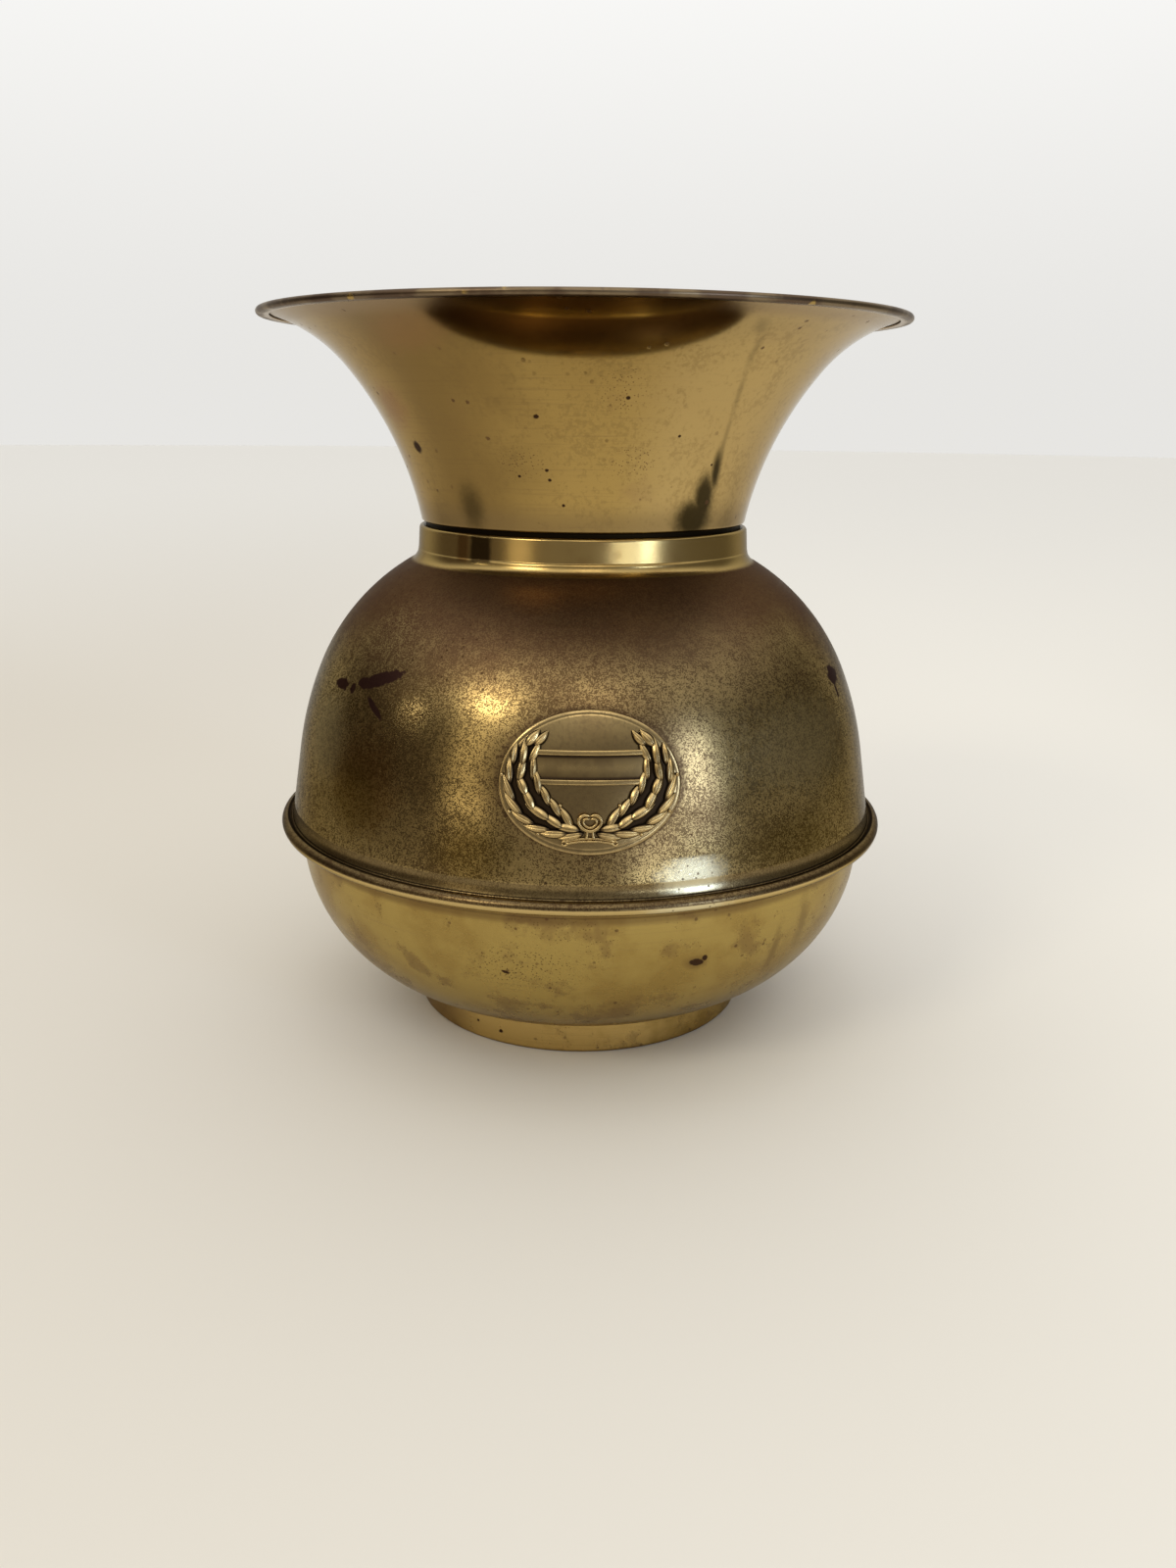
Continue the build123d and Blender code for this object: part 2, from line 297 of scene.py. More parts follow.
shell = turned("shell_spun", section(shell_face, shell_sheet, 1), "vessel", "upper_shell")

# Lower bowl
bowl_arc_radius = bowl_top_height - bowl_bottom_height
bowl_arc_middle = bowl_top_radius - bowl_arc_radius
bowl_floor = straight((0, bowl_bottom_height), (bowl_arc_middle, bowl_bottom_height), 3.0)
bowl_side = arc(bowl_floor[-1], 0, bowl_arc_radius, 90)
step_turn = math.degrees(math.acos(1 - bowl_step / (2 * step_radius)))
step_out = arc(bowl_side[-1], 90, step_radius, -step_turn, 0.15)
step_up = arc(step_out[-1], 90 - step_turn, step_radius, step_turn, 0.15)
flange_height = bead_bottom + shell_sheet + flange_rest
bowl_neck = straight(step_up[-1], (neck_radius, flange_height), 0.3)
flange = straight((neck_radius, flange_height), (neck_radius + flange_reach, flange_height), 0.3)
bowl_face = joined(bowl_floor, bowl_side, step_out, step_up, bowl_neck)
bowl_face = rounded(bowl_face, flange, flange_corner)
bowl = turned("bowl_spun", section(bowl_face, bowl_sheet, 1), "vessel", "lower_bowl")

# Foot ring
foot_top_radius = foot_radius - foot_lean
seat_radius = bowl_arc_radius + solder_gap
seat_reach = foot_top_radius - bowl_arc_middle
foot_top_height = bowl_top_height - math.sqrt(seat_radius**2 - seat_reach**2)
foot_top = (foot_top_radius, foot_top_height)
seat_angle = math.degrees(math.atan2(seat_reach, bowl_top_height - foot_top_height))
foot_face = rounded(
    straight((foot_radius - foot_hem, 0), (foot_radius, 0), 0.3),
    straight((foot_radius, 0), foot_top, 0.4),
    foot_rounding,
)
seat = arc(foot_top, 180 + seat_angle, seat_radius, -math.degrees(foot_flange / seat_radius))
foot_face = rounded(foot_face, seat, 0.2)
foot = turned("foot_spun", section(foot_face, foot_sheet, 1), "vessel", "foot_ring")


# Badge: points given across and up its face and by their height over the shell
def badge_point(across, up, lift):
    across, up, lift = np.broadcast_arrays(*(np.asarray(value, float) for value in (across, up, lift)))
    way = badge_middle + up
    first = math.radians(side_taper)
    bend = np.clip(way - side_length, 0, None) / lower_dome_radius
    slope = first + bend
    low = np.minimum(way, side_length)
    radius = ledge_radius - low * math.sin(first) - lower_dome_radius * (math.cos(first) - np.cos(slope))
    level = ledge_height + low * math.cos(first) + lower_dome_radius * (np.sin(slope) - math.sin(first))
    radius = radius + lift * np.cos(slope)
    level = level + lift * np.sin(slope)
    around = across / (ledge_radius - side_length * math.sin(first))
    return np.stack([radius * np.sin(around), -radius * np.cos(around), level], -1) * MM


class Form:
    """Collects the points and faces of one mesh, and a recess value at each point."""

    def __init__(self):
        self.points, self.faces, self.recess = [], [], []

    def grid(self, across, up, lift, recess, closed=False):
        rows, columns = across.shape
        base = len(self.points)
        self.points.extend(badge_point(across, up, lift).reshape(-1, 3).tolist())
        self.recess.extend(np.broadcast_to(recess, across.shape).ravel().tolist())
        for i in range(rows - 1):
            low, high = base + i * columns, base + (i + 1) * columns
            for j in range(columns if closed else columns - 1):
                k = (j + 1) % columns
                self.faces.append((low + j, low + k, high + k, high + j))

    def piece(self, name, body, node):
        return new_piece(name, self.points, self.faces, body, node, badge_merge, self.recess)


plate_back = solder_gap
plate_face = plate_back + badge_sheet
wreath_low = plate_face + solder_gap
wreath_face = wreath_low + wreath_back
wreath_foot = wreath_low + 0.02

# Badge plate: rings of an oval, by their inset from its edge, height and recess
plate = Form()
turn = np.linspace(0, 2 * math.pi, plate_segments, endpoint=False)
across_rows = [badge_width / 2 * share * np.cos(turn) for share in np.linspace(0.0, 0.9, 24)]
up_rows = [badge_length / 2 * share * np.sin(turn) for share in np.linspace(0.0, 0.9, 24)]
heights = [(plate_face, 0.0)] * 24
for inset, height, recess in (
    (badge_border + 0.55, plate_face, 0.0),
    (badge_border + 0.35, plate_face - 0.04, 0.35),
    (badge_border + 0.15, plate_face, 0.05),
    (badge_border - 0.3, plate_face + 0.02, 0.0),
    (0.7, plate_face, 0.0),
    (0.45, plate_face - 0.04, 0.0),
    (0.22, plate_face - 0.14, 0.0),
    (0.06, plate_face - 0.34, 0.0),
    (0.0, plate_face - 0.6, 0.3),
    (0.0, plate_back + 0.2, 0.8),
    (0.08, plate_back, 1.0),
    (2.0, plate_back, 1.0),
):
    across_rows.append((badge_width / 2 - inset) * np.cos(turn))
    up_rows.append((badge_length / 2 - inset) * np.sin(turn))
    heights.append((height, recess))
lift_rows, recess_rows = (np.array(column)[:, None] + 0 * turn for column in zip(*heights))
plate.grid(np.array(across_rows), np.array(up_rows), lift_rows, recess_rows, True)
badge_plate = plate.piece("badge_plate_oval", "vessel", "badge_plate")

# Wreath: leaves, twigs, berries, tied stems and the plain tablet
wreath = Form()


def place(local_along, local_aside, across, up, heading):
    c, s = math.cos(math.radians(heading)), math.sin(math.radians(heading))
    return across + local_along * c - local_aside * s, up + local_along * s + local_aside * c


def laurel_leaf(across, up, heading, length, width, height, low, lean=0.0):
    """A slender pointed leaf with a fine ridge, worn bright on its crown and dark down its sides."""
    t = np.linspace(0, 1, 27)[:, None]
    s = np.linspace(-1, 1, 19)[None, :]
    half = width / 2 * np.clip(np.sin(math.pi * t**0.86), 0, 1) ** 0.72
    crown = np.clip(np.sin(math.pi * np.clip(t, 0.02, 0.98) ** 0.62), 0, 1) ** 0.6
    blade = np.sqrt(np.clip(1 - 0.98 * s**2, 0, 1))
    ridge = 0.10 * np.exp(-(((s - lean * 0.35) / 0.16) ** 2))
    ridge = ridge - 0.16 * np.exp(-(((s + lean * 0.2) / 0.13) ** 2))
    rise = low + height * crown * np.clip(0.05 + 0.95 * blade + ridge, 0, 1.2)
    along = (t - 0.5) * length
    aside = half * s + lean * 0.35 * (4 * t * (1 - t)) * np.ones_like(s)
    x, y = place(along, aside, across, up, heading)
    flank = np.clip((np.abs(s - 0.15 * lean) - 0.52) / 0.40, 0, 1)
    start = np.clip(1 - t / 0.22, 0, 1)
    vein = np.exp(-(((s + lean * 0.2) / 0.10) ** 2))
    recess = np.clip(flank + 0.9 * start + 0.42 * vein + 0.06, 0, 1)
    wreath.grid(x, y, rise, recess)
    edge_along = np.concatenate([along[:, 0], along[::-1, 0]])
    edge_aside = np.concatenate([aside[:, -1], aside[::-1, 0]])
    edge_rise = np.concatenate([rise[:, -1], rise[::-1, 0]])
    rows = np.linspace(0, 1, 3)[:, None]
    edge_x, edge_y = place(edge_along, edge_aside, across, up, heading)
    down = edge_rise[None] * (1 - rows) + (wreath_low + 0.06) * rows
    ones = np.ones_like(rows)
    wreath.grid(edge_x[None] * ones, edge_y[None] * ones, down, np.ones_like(down))


def twig(points, radius, low, recess=0.35):
    """A round twig that lies on the badge and follows points across and up it."""
    points = np.array(points, float)
    d = np.gradient(points, axis=0)
    d /= np.linalg.norm(d, axis=1, keepdims=True)
    n = np.stack([-d[:, 1], d[:, 0]], 1)
    t = np.linspace(0, 1, len(points))
    r = radius * np.clip(np.minimum(t, 1 - t) / 0.06, 0.02, 1) ** 0.5
    a = np.linspace(0, 2 * math.pi, 14, endpoint=False)
    x = points[:, :1] + n[:, :1] * r[:, None] * np.cos(a)
    y = points[:, 1:] + n[:, 1:] * r[:, None] * np.cos(a)
    lift = np.maximum(low + radius * 0.35 + r[:, None] * np.sin(a), wreath_foot)
    wreath.grid(x, y, lift, np.clip(recess - 0.5 * np.sin(a), 0, 1) * np.ones_like(x), True)


def berry(across, up, radius, low):
    t = np.linspace(0.04, math.pi * 0.5 + 0.5, 9)[:, None]
    a = np.linspace(0, 2 * math.pi, 14, endpoint=False)[None]
    x = across + radius * np.sin(t) * np.cos(a)
    y = up + radius * np.sin(t) * np.sin(a)
    lift = low + radius * (0.35 + np.cos(t)) * np.ones_like(a)
    wreath.grid(x, y, np.maximum(lift, wreath_foot), np.clip(t - 0.9, 0, 1) * np.ones_like(a), True)


def strand(corners):
    """A smooth line through corners, as evenly spaced points with their headings."""
    corners = np.array(corners, float)
    at = np.concatenate([[0], np.cumsum(np.linalg.norm(np.diff(corners, axis=0), axis=1))])
    run = np.linspace(0, at[-1], strand_points)
    x, y = np.interp(run, at, corners[:, 0]), np.interp(run, at, corners[:, 1])
    kernel = np.hanning(31) / np.hanning(31).sum()
    for _ in range(4):
        x, y = (
            np.convolve(np.concatenate([2 * v[0] - v[15:0:-1], v, 2 * v[-1] - v[-2:-17:-1]]), kernel, "valid")
            for v in (x, y)
        )
    return run, x, y, np.degrees(np.arctan2(np.gradient(y), np.gradient(x)))


# Each strand: its line from the tie to the tip, then the length, width, splay, height, base and lean
# of its leaves
strands = (
    (
        ((3.2, -15.9), (9.6, -15.6), (15.6, -13.9), (20.4, -10.8))
        + ((23.6, -6.2), (24.9, -0.6), (24.4, 4.8), (22.4, 10.2)),
        (8.8, 2.95, -13.0, 1.3, 0.26, -0.7),
    ),
    (
        ((5.6, -12.6), (10.4, -8.2), (14.2, -3.9), (16.9, 0.4))
        + ((18.1, 4.6), (17.8, 8.6), (16.6, 12.0), (14.4, 15.0)),
        (8.2, 2.9, 13.0, 1.3, 0.34, 0.7),
    ),
    (
        ((4.2, -14.3), (10.2, -12.4), (15.6, -9.2), (19.4, -4.6))
        + ((21.3, 0.6), (21.4, 5.4), (20.0, 10.2), (17.2, 15.0)),
        (8.8, 3.3, 0.0, 1.55, 0.55, 0.3),
    ),
)
outer_strand, middle_strand = 0, 2
berry_radius = 0.66
for sign in (1, -1):
    backs = []
    for number, (corners, (length, width, splay, height, base, lean)) in enumerate(strands):
        run, line_x, line_y, line_heading = strand(corners)
        backs.append((line_x, line_y))
        steps = int(round(run[-1] / (length * 0.56)))
        for step in range(steps):
            at = int((len(run) - 1) * (step + 0.35) / steps)
            wobble = math.sin(step * 2.3 + number * 1.9 + sign * 0.4)
            heading = line_heading[at] + splay + 3.0 * wobble
            if number == middle_strand:
                heading += 9.0 if step % 2 else -9.0
            size = 1.0 + 0.07 * math.sin(step * 1.7 + number * 2.1)
            x, y = place(length * 0.12, 0.0, line_x[at], line_y[at], heading)
            laurel_leaf(
                sign * x,
                y,
                heading if sign > 0 else 180 - heading,
                length * size * (0.82 if step == steps - 1 else 1.0),
                width * (1.0 + 0.05 * wobble),
                height * size,
                wreath_low + base,
                lean * sign,
            )
            if number != middle_strand and step % 2 == (number == outer_strand) and step < steps - 1:
                aside = math.copysign(0.5, splay)
                x, y = place(length * 0.62, aside, line_x[at], line_y[at], heading)
                berry(sign * x, y, berry_radius, wreath_low + 0.3)
    # Backing under the leaves, from the outer strand to the inner one
    shares = np.array([-0.02, 0.0, 0.25, 0.5, 0.75, 1.0, 1.02])
    (outer_x, outer_y), (inner_x, inner_y) = (np.array(line)[:, ::3, None] for line in backs[:2])
    lift = np.array([wreath_foot] + [wreath_face - 0.15] * 5 + [wreath_foot])
    wreath.grid(
        sign * (outer_x * (1 - shares) + inner_x * shares),
        outer_y * (1 - shares) + inner_y * shares,
        np.broadcast_to(lift, (strand_points // 3, len(shares))),
        1.0,
    )

# Tablet with two rails: the rows of its lower half by height up the badge, lift and recess, then their mirror
half = tablet_length / 2
rail_inside = tablet_rail - half
rail_top = wreath_face + tablet_rail_rise
rows = [
    (-half, wreath_foot, 1.0),
    (-half, rail_top - 0.22, 0.3),
    (-half + 0.14, rail_top - 0.04, 0.0),
    (-half + 0.35, rail_top, 0.0),
    (rail_inside - 0.35, rail_top, 0.0),
    (rail_inside - 0.14, rail_top - 0.05, 0.0),
    (rail_inside, rail_top - 0.25, 0.3),
    (rail_inside + 0.05, wreath_face + 0.1, 0.9),
    (rail_inside + 0.3, wreath_face, 0.95),
    (rail_inside + 0.9, wreath_face, 0.45),
]
rows = rows + [(0.0, wreath_face, 0.25)] + [(-up, lift, recess) for up, lift, recess in rows[::-1]]
up, lift, recess = (np.array(column)[:, None] for column in zip(*rows))
along = np.linspace(-tablet_width / 2, tablet_width / 2, 70)[None]
flat = np.zeros_like(up * along)
wreath.grid(along + flat, tablet_rise + up + flat, lift + flat, recess + flat)

# Tie: a heart-shaped loop over the stems, and a ribbon below it with rolled ends
around = np.linspace(0.0, 2 * math.pi, 60)
for wide, tall, rise_by, thick in ((3.9, 2.6, 0.75, 0.50), (2.3, 1.6, 0.45, 0.42)):
    loop_x = wide * np.sin(around) * (1 - 0.30 * (1 - np.cos(around)) / 2)
    loop_y = -11.9 + tall * np.cos(around) - 0.55 * np.exp(-((loop_x / 1.2) ** 2)) * (np.cos(around) > 0)
    twig(list(zip(loop_x, loop_y)), thick, wreath_face + rise_by, 0.1)
for side_sign in (-1, 1):
    stem = [(side_sign * (0.75 + 0.35 * t), -14.2 - 2.9 * t) for t in np.linspace(0, 1, 14)]
    ribbon = [(7.4 * t, -17.3 - 0.95 * t * t + side_sign * 0.42) for t in np.linspace(-1, 1, 48)]
    turns = np.linspace(0, 2 * math.pi, 24)
    roll = [(side_sign * (7.5 + 0.72 * math.cos(a)), -18.45 + 0.72 * math.sin(a)) for a in turns]
    twig(stem, 0.5, wreath_face + 0.5)
    twig(ribbon, 0.40, wreath_low + 0.55, 0.15)
    twig(roll, 0.36, wreath_low + 0.55, 0.15)

badge_wreath = wreath.piece("badge_wreath_laurel", "vessel", "badge_wreath")


# Materials
def node_tree(name):
    material = bpy.data.materials.new(name)
    material.use_nodes = True
    tree = material.node_tree
    tree.nodes.clear()
    return material, tree


def set_input(tree, socket, value):
    """Links a socket to another one, or sets it to a number or colour."""
    if isinstance(value, bpy.types.NodeSocket):
        tree.links.new(value, socket)
    else:
        socket.default_value = value


def add(tree, kind, inputs=None, **settings):
    node = tree.nodes.new(kind)
    for key, value in settings.items():
        setattr(node, key, value)
    for key, value in (inputs or {}).items():
        set_input(tree, node.inputs[key], value)
    return node


def maths(tree, operation, a, b=0.0, c=0.0):
    return add(tree, "ShaderNodeMath", {0: a, 1: b, 2: c}, operation=operation).outputs[0]


def smooth(tree, value, low, high, to_low=0.0, to_high=1.0):
    """A soft step of the value from to_low to to_high."""
    node = add(tree, "ShaderNodeMapRange", {0: value, 1: low, 2: high, 3: to_low, 4: to_high})
    node.interpolation_type = "SMOOTHSTEP"
    return node.outputs[0]


def colour(value):
    """A colour as a socket or three numbers, ready for a node."""
    return value if isinstance(value, bpy.types.NodeSocket) else (*value, 1.0)


def mixed(tree, factor, a, b):
    """Colour a where the factor is 0 and colour b where it is 1."""
    node = add(tree, "ShaderNodeMix", data_type="RGBA")
    for index, value in ((0, factor), (6, colour(a)), (7, colour(b))):
        set_input(tree, node.inputs[index], value)
    return node.outputs[2]


# How far a mark reaches into the metal and out of it, beyond half its width, in millimetres
mark_depth = 6.0


class Skin:
    """One brass surface: colour, roughness and relief, built up in layers from object positions."""

    def __init__(self, name, base, roughness):
        self.material, self.tree = node_tree(name)
        t = self.tree
        coordinates = add(t, "ShaderNodeTexCoord")
        self.position = coordinates.outputs["Object"]
        self.x, self.y, self.z = add(t, "ShaderNodeSeparateXYZ", {0: self.position}).outputs
        squares = self.add(self.multiply(self.x, self.x), self.multiply(self.y, self.y))
        self.radius = maths(t, "SQRT", squares)
        safe = maths(t, "MAXIMUM", self.radius, 0.001)
        self.level = self.add(self.z, self.multiply(self.radius, 0.6))
        self.around_x = maths(t, "DIVIDE", self.x, safe)
        self.around_y = maths(t, "DIVIDE", self.y, safe)
        radial = add(t, "ShaderNodeCombineXYZ", {0: self.around_x, 1: self.around_y}).outputs[0]
        pair = {0: coordinates.outputs["Normal"], 1: radial}
        facing = add(t, "ShaderNodeVectorMath", pair, operation="DOT_PRODUCT")
        self.outside = self.smooth(facing.outputs["Value"], -0.04, 0.04)
        self.colour, self.roughness = base, roughness
        self.relief = None
        self.wobble = self.noise(380.0, 5.0, 0.68)

    def add(self, a, b):
        return maths(self.tree, "ADD", a, b)

    def multiply(self, a, b):
        return maths(self.tree, "MULTIPLY", a, b)

    def smooth(self, value, low, high, to_low=0.0, to_high=1.0):
        return smooth(self.tree, value, low, high, to_low, to_high)

    def noise(self, scale, detail=4.0, rough=0.55, offset=None, vector=None):
        vector = self.position if vector is None else vector
        if offset is not None:
            moved = add(self.tree, "ShaderNodeVectorMath", {0: vector, 1: offset}, operation="ADD")
            vector = moved.outputs[0]
        inputs = {"Vector": vector, "Scale": scale, "Detail": detail, "Roughness": rough}
        return add(self.tree, "ShaderNodeTexNoise", inputs).outputs["Fac"]

    def lines(self, density, turns=1.0):
        """Noise drawn out round the axis, as the marks of spinning and polishing are."""
        pairs = ((self.around_x, turns), (self.around_y, turns), (self.level, density))
        parts = {index: self.multiply(*pair) for index, pair in enumerate(pairs)}
        vector = add(self.tree, "ShaderNodeCombineXYZ", parts).outputs[0]
        return self.noise(1.0, 3.0, 0.6, vector=vector)

    def spots(self, scale, size):
        """Scattered round spots; size is a share of the spacing."""
        node = add(self.tree, "ShaderNodeTexVoronoi", {"Vector": self.position, "Scale": scale})
        ragged = self.add(node.outputs["Distance"], self.multiply(self.noise(scale * 5, 2.0), 0.12))
        return self.smooth(ragged, size, size + 0.07, 1.0, 0.0)

    def mark(self, angle, height, radius, half_width, half_height, soft=0.25, ragged=0.6, tilt=0.0):
        """Mask of one mark, placed by its angle to the right of the front, its height and its distance."""
        a = math.radians(angle)
        middle = (radius * MM * math.sin(a), -radius * MM * math.cos(a), height * MM)
        inputs = {
            "Vector": self.position,
            "Location": middle,
            "Rotation": (0, -math.radians(tilt), a),
            "Scale": (half_width * MM, mark_depth * MM + half_width * MM, half_height * MM),
        }
        local = add(self.tree, "ShaderNodeMapping", inputs, vector_type="TEXTURE").outputs[0]
        length = add(self.tree, "ShaderNodeVectorMath", {0: local}, operation="LENGTH").outputs["Value"]
        uneven = self.add(length, self.multiply(self.add(self.wobble, -0.5), ragged * 2.6))
        return self.smooth(uneven, 1.0 - soft, 1.0 + soft, 1.0, 0.0)

    def most(self, *masks):
        out = masks[0]
        for mask in masks[1:]:
            out = maths(self.tree, "MAXIMUM", out, mask)
        return out

    def marks(self, *rows):
        """Mask of several marks, each row the numbers of one."""
        return self.most(*(self.mark(*row) for row in rows))

    def band(self, low, high, edge):
        """Mask of the heights between two levels, with soft edges."""
        return self.multiply(
            self.smooth(self.z, (low - edge) * MM, (low + edge) * MM),
            self.smooth(self.z, (high - edge) * MM, (high + edge) * MM, 1.0, 0.0),
        )

    def layer(self, mask, tint, roughness=None, share=1.0):
        """Lays a colour, and mostly a roughness, over the last ones where the mask is 1."""
        if share != 1.0:
            mask = self.multiply(mask, share)
        self.colour = mixed(self.tree, mask, self.colour, tint)
        if roughness is not None:
            span = maths(self.tree, "SUBTRACT", roughness, self.roughness)
            self.roughness = maths(self.tree, "MULTIPLY_ADD", mask, span, self.roughness)

    def layer_in(self, zone, mask, *look):
        self.layer(self.multiply(zone, mask), *look)

    def raise_by(self, value, amount):
        part = self.multiply(value, amount * MM)
        self.relief = part if self.relief is None else self.add(self.relief, part)

    def finish(self, piece, edge=(0.78, 0.76, 0.73)):
        """Makes the shader; edge is how far the metal keeps its brightness at a glancing angle."""
        t = self.tree
        bump = add(t, "ShaderNodeBump", {"Strength": 1.0, "Distance": 1.0, "Height": self.relief})
        inputs = {
            "Base Color": colour(self.colour),
            "Metallic": 1.0,
            "Roughness": self.roughness,
            "Specular Tint": colour(edge),
            "Normal": bump.outputs[0],
        }
        shader = add(t, "ShaderNodeBsdfPrincipled", inputs)
        add(t, "ShaderNodeOutputMaterial", {0: shader.outputs[0]})
        piece.data.materials.append(self.material)


gold = (0.415, 0.280, 0.088)
dull_gold = (0.33, 0.225, 0.085)
brown = (0.115, 0.060, 0.028)
dark_brown = (0.055, 0.028, 0.014)
purple = (0.045, 0.020, 0.018)
reddish = (0.30, 0.155, 0.065)
grey_brown = (0.16, 0.125, 0.09)


def spun_marks(skin, strength=1.0):
    """Raises fine and broad rings and slow dents, and gives back the broad rings."""
    broad = skin.lines(1300.0, 2.2)
    skin.raise_by(skin.lines(9000.0, 1.5), 0.0008 * strength)
    skin.raise_by(broad, 0.0022 * strength)
    skin.raise_by(skin.noise(22.0, 2.0), 0.10 * strength)
    return broad


# Mouth funnel
skin = Skin("brass_funnel", gold, 0.10)
broad = spun_marks(skin)
cloud = skin.noise(34.0, 4.0, 0.6)
tone = skin.noise(11.0, 3.0, 0.5, (0.3, 0.1, 0.7))
skin.layer(skin.smooth(tone, 0.42, 0.66), (0.355, 0.225, 0.068), 0.12, 0.8)
skin.layer(skin.smooth(cloud, 0.56, 0.74), (0.30, 0.18, 0.068), 0.15, 0.75)
skin.layer(skin.smooth(broad, 0.52, 0.72), (0.29, 0.19, 0.07), 0.16, 0.45)
film = skin.noise(620.0, 4.0, 0.7, (0.2, 0.6, 0.4))
smudge = skin.noise(82.0, 5.0, 0.65, (0.9, 0.1, 0.5))
film = skin.add(skin.multiply(film, 0.6), skin.multiply(smudge, 0.4))
# Painted light and shade: browner to the left and paler to the right, on the outside only, as the light falls
# from the right
left = skin.smooth(skin.add(skin.around_x, skin.multiply(skin.add(cloud, -0.5), 0.5)), -0.10, -0.62)
left = skin.multiply(left, skin.smooth(skin.around_x, -0.93, -0.70))
skin.layer_in(left, skin.outside, (0.18, 0.113, 0.038), 0.13, 0.78)
right = skin.smooth(skin.add(skin.around_x, skin.multiply(skin.add(tone, -0.5), 0.4)), 0.05, 0.45)
skin.layer_in(right, skin.outside, (0.50, 0.36, 0.15), 0.11, 0.6)
skin.layer(skin.smooth(film, 0.49, 0.60), (0.21, 0.135, 0.048), 0.17, 0.34)
skin.layer(skin.band(178.0, 189.0, 4.5), (0.20, 0.137, 0.062), 0.14, 0.6)
skin.layer(skin.mark(-60.7, 221.0, 73.4, 9.0, 6.0, 0.6, 0.5, 20.0), reddish, 0.30, 0.6)
skin.layer(skin.mark(-36.0, 243.0, 93.0, 16.0, 5.0, 0.6, 0.5, 10.0), reddish, 0.24, 0.35)
# Painted reflections: dark streaks above the neck and the thin line up from them
left_neck_reflection = skin.multiply(skin.mark(-39.0, 189.5, 60.0, 4.5, 6.5, 0.8, 0.3), skin.outside)
skin.layer(left_neck_reflection, (0.060, 0.040, 0.014), 0.14, 0.8)
neck_reflections = skin.marks(
    (36.0, 186.5, 59.4, 7.5, 6.5, 0.5, 0.2),
    (38.6, 193.0, 61.2, 4.2, 8.0, 0.5, 0.2, 12.0),
    (40.6, 202.0, 64.4, 1.9, 7.0, 0.7, 0.2, 12.0),
)
skin.layer_in(neck_reflections, skin.outside, (0.026, 0.018, 0.006), 0.14, 0.95)
side_reflection_line = skin.marks(
    (39.5, 213.0, 69.2, 0.9, 8.0, 0.8, 0.3, 12.0),
    (37.2, 226.0, 77.2, 1.0, 8.0, 0.8, 0.4, 16.0),
    (34.6, 238.0, 87.5, 1.2, 7.0, 0.8, 0.5, 14.0),
    (31.5, 244.5, 94.5, 3.2, 1.6, 0.8, 0.6, -30.0),
)
skin.layer_in(side_reflection_line, skin.outside, (0.20, 0.140, 0.055), 0.15, 0.5)
dusty = skin.marks(
    (7.5, 226.0, 76.6, 7.0, 7.0, 0.5, 0.5),
    (-19.0, 204.5, 65.0, 7.0, 5.0, 0.5, 0.5),
    (12.0, 205.0, 65.0, 8.0, 5.0, 0.5, 0.5),
)
skin.layer_in(dusty, skin.spots(1100.0, 0.26), brown, 0.4, 0.75)
skin.layer(skin.band(247.5, 253.0, 1.3), (0.30, 0.20, 0.10), 0.3, 0.5)
speckle = skin.multiply(skin.spots(150.0, 0.13), skin.smooth(cloud, 0.42, 0.62))
skin.layer(speckle, brown, 0.45, 0.8)
pits = skin.marks(
    (-57.2, 208.25, 66.7, 2.2, 1.9, 0.3, 0.35, 10.0),
    *[
        (angle, height, radius, size, size * 0.8, 0.3, 0.5)
        for angle, height, radius, size in (
            (-13.3, 218.44, 71.95, 0.8),
            (8.47, 224.12, 75.5, 0.7),
            (-11.93, 202.22, 64.1, 0.6),
            (-11.29, 199.19, 63.0, 0.55),
            (-20.24, 200.2, 63.4, 0.5),
            (-7.56, 191.25, 60.4, 0.5),
            (24.0, 213.0, 69.0, 0.5),
            (38.0, 204.0, 65.0, 0.45),
        )
    ],
)
skin.layer(pits, dark_brown, 0.55)
skin.raise_by(skin.most(pits, speckle), -0.03)
# Dull patched rim, dull spigot, and painted shade in the gap at the neck
rim_dull = skin.smooth(skin.radius, 108.6 * MM, 110.3 * MM)
rim_patch = skin.smooth(skin.noise(60.0, 4.0), 0.42, 0.56)
skin.layer(rim_dull, grey_brown, 0.38, 0.75)
skin.layer_in(rim_dull, rim_patch, purple, 0.42, 0.55)
skin.layer_in(rim_dull, skin.spots(95.0, 0.16), gold, 0.22, 0.9)
spigot = skin.smooth(skin.z, 182.4 * MM, 182.0 * MM)
skin.layer(spigot, (0.17, 0.115, 0.050), 0.30, 0.7)
# Painted shade: near black in the gap between the funnel's shoulder and the collar's lip, on the outside only
gap = skin.multiply(skin.band(180.2, 183.4, 0.3), skin.outside)
gap = skin.multiply(gap, skin.smooth(skin.radius, 58.3 * MM, 57.8 * MM))
skin.layer(gap, (0.010, 0.007, 0.004), 0.6, 0.97)
skin.finish(funnel)

# Upper shell: the dome up to the foot of the collar, whose colour changes between two heights
dome_end, collar_start = 168.2 * MM, 169.6 * MM
skin = Skin("brass_shell", gold, 0.25)
broad = spun_marks(skin, 1.3)
cloud = skin.noise(26.0, 5.0, 0.6)
small = skin.noise(420.0, 4.0, 0.65)
grain = skin.noise(1150.0, 3.0, 0.6)
height = skin.add(skin.z, skin.multiply(skin.add(cloud, -0.5), 0.030))
top = skin.smooth(height, 124 * MM, 158 * MM)
grit = skin.noise(2300.0, 2.0, 0.5)
